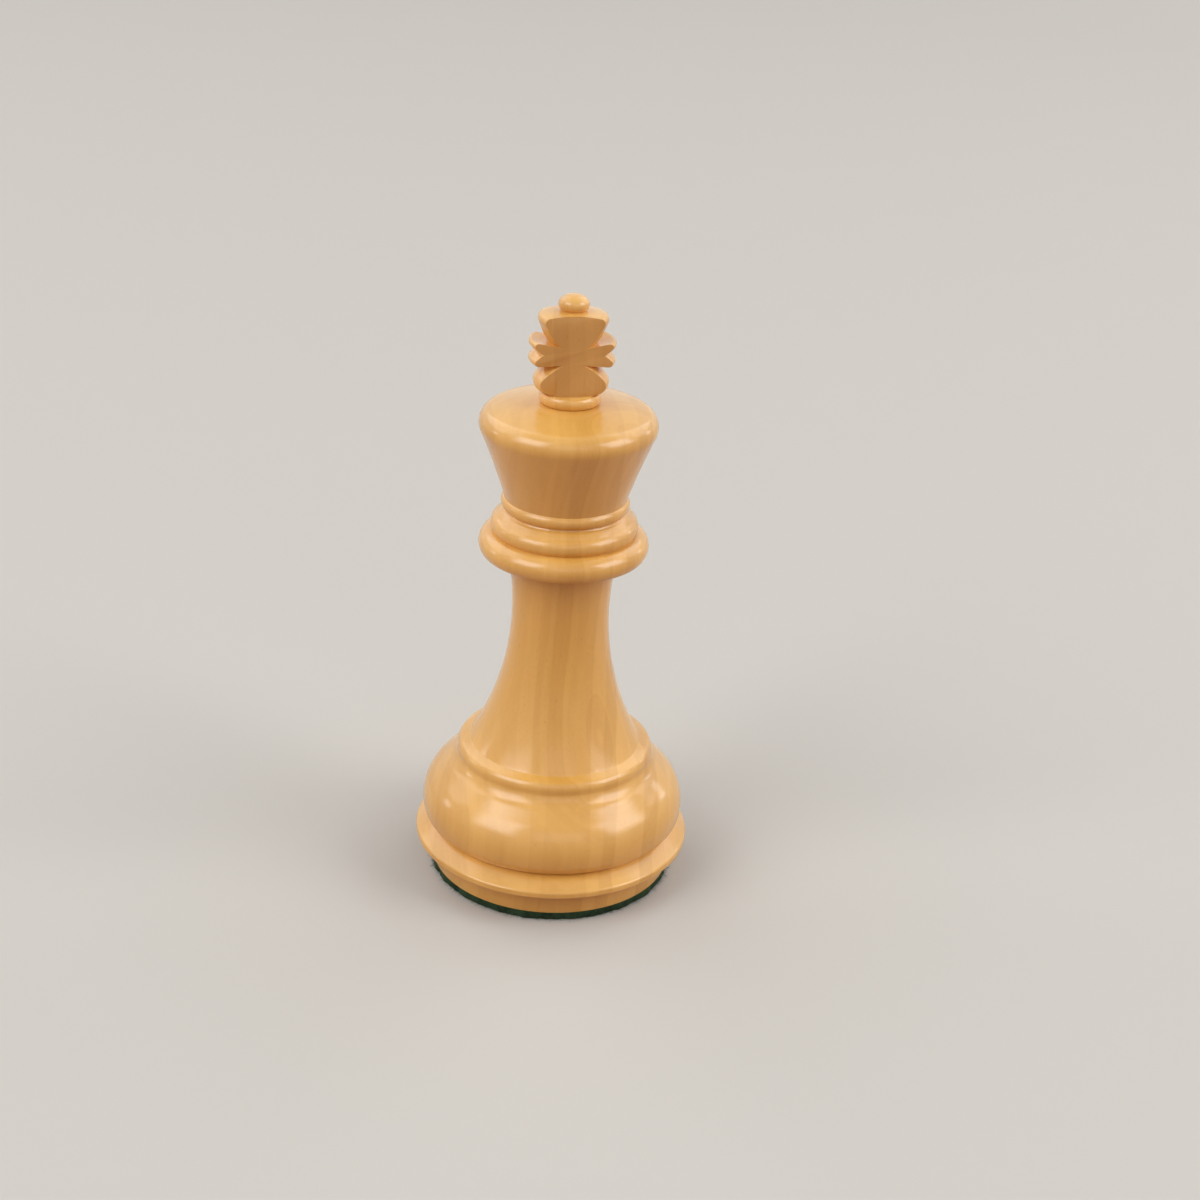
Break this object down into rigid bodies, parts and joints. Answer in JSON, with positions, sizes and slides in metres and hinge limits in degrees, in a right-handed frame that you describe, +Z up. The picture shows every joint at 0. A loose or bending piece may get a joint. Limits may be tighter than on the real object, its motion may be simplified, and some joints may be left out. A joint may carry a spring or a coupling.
{
  "type": "chess king",
  "caption": "Free-standing turned wooden chess king with a cross finial on a flared crown, collars, a waisted stem and a weighted, felted base.",
  "frame": {"origin": "centre of the felt pad's underside, on the turning axis", "axes": "+Z up along the turning axis; the finial's two flats face -Y (front) and +Y (back)"},
  "size_m": [0.0434, 0.0434, 0.0948],
  "materials": {
    "boxwood": "honey boxwood under a clear gloss lacquer",
    "finial_boxwood": "slightly paler boxwood under a clear gloss lacquer",
    "weight_steel": "turned bare steel",
    "plug_wood": "bare turned wood",
    "baize": "dark green wool baize"
  },
  "bodies": {
    "root": {"body": "boxwood", "finial": "finial_boxwood", "base_weight": "weight_steel", "recess_plug": "plug_wood", "felt_pad": "baize"}
  },
  "joints": []
}
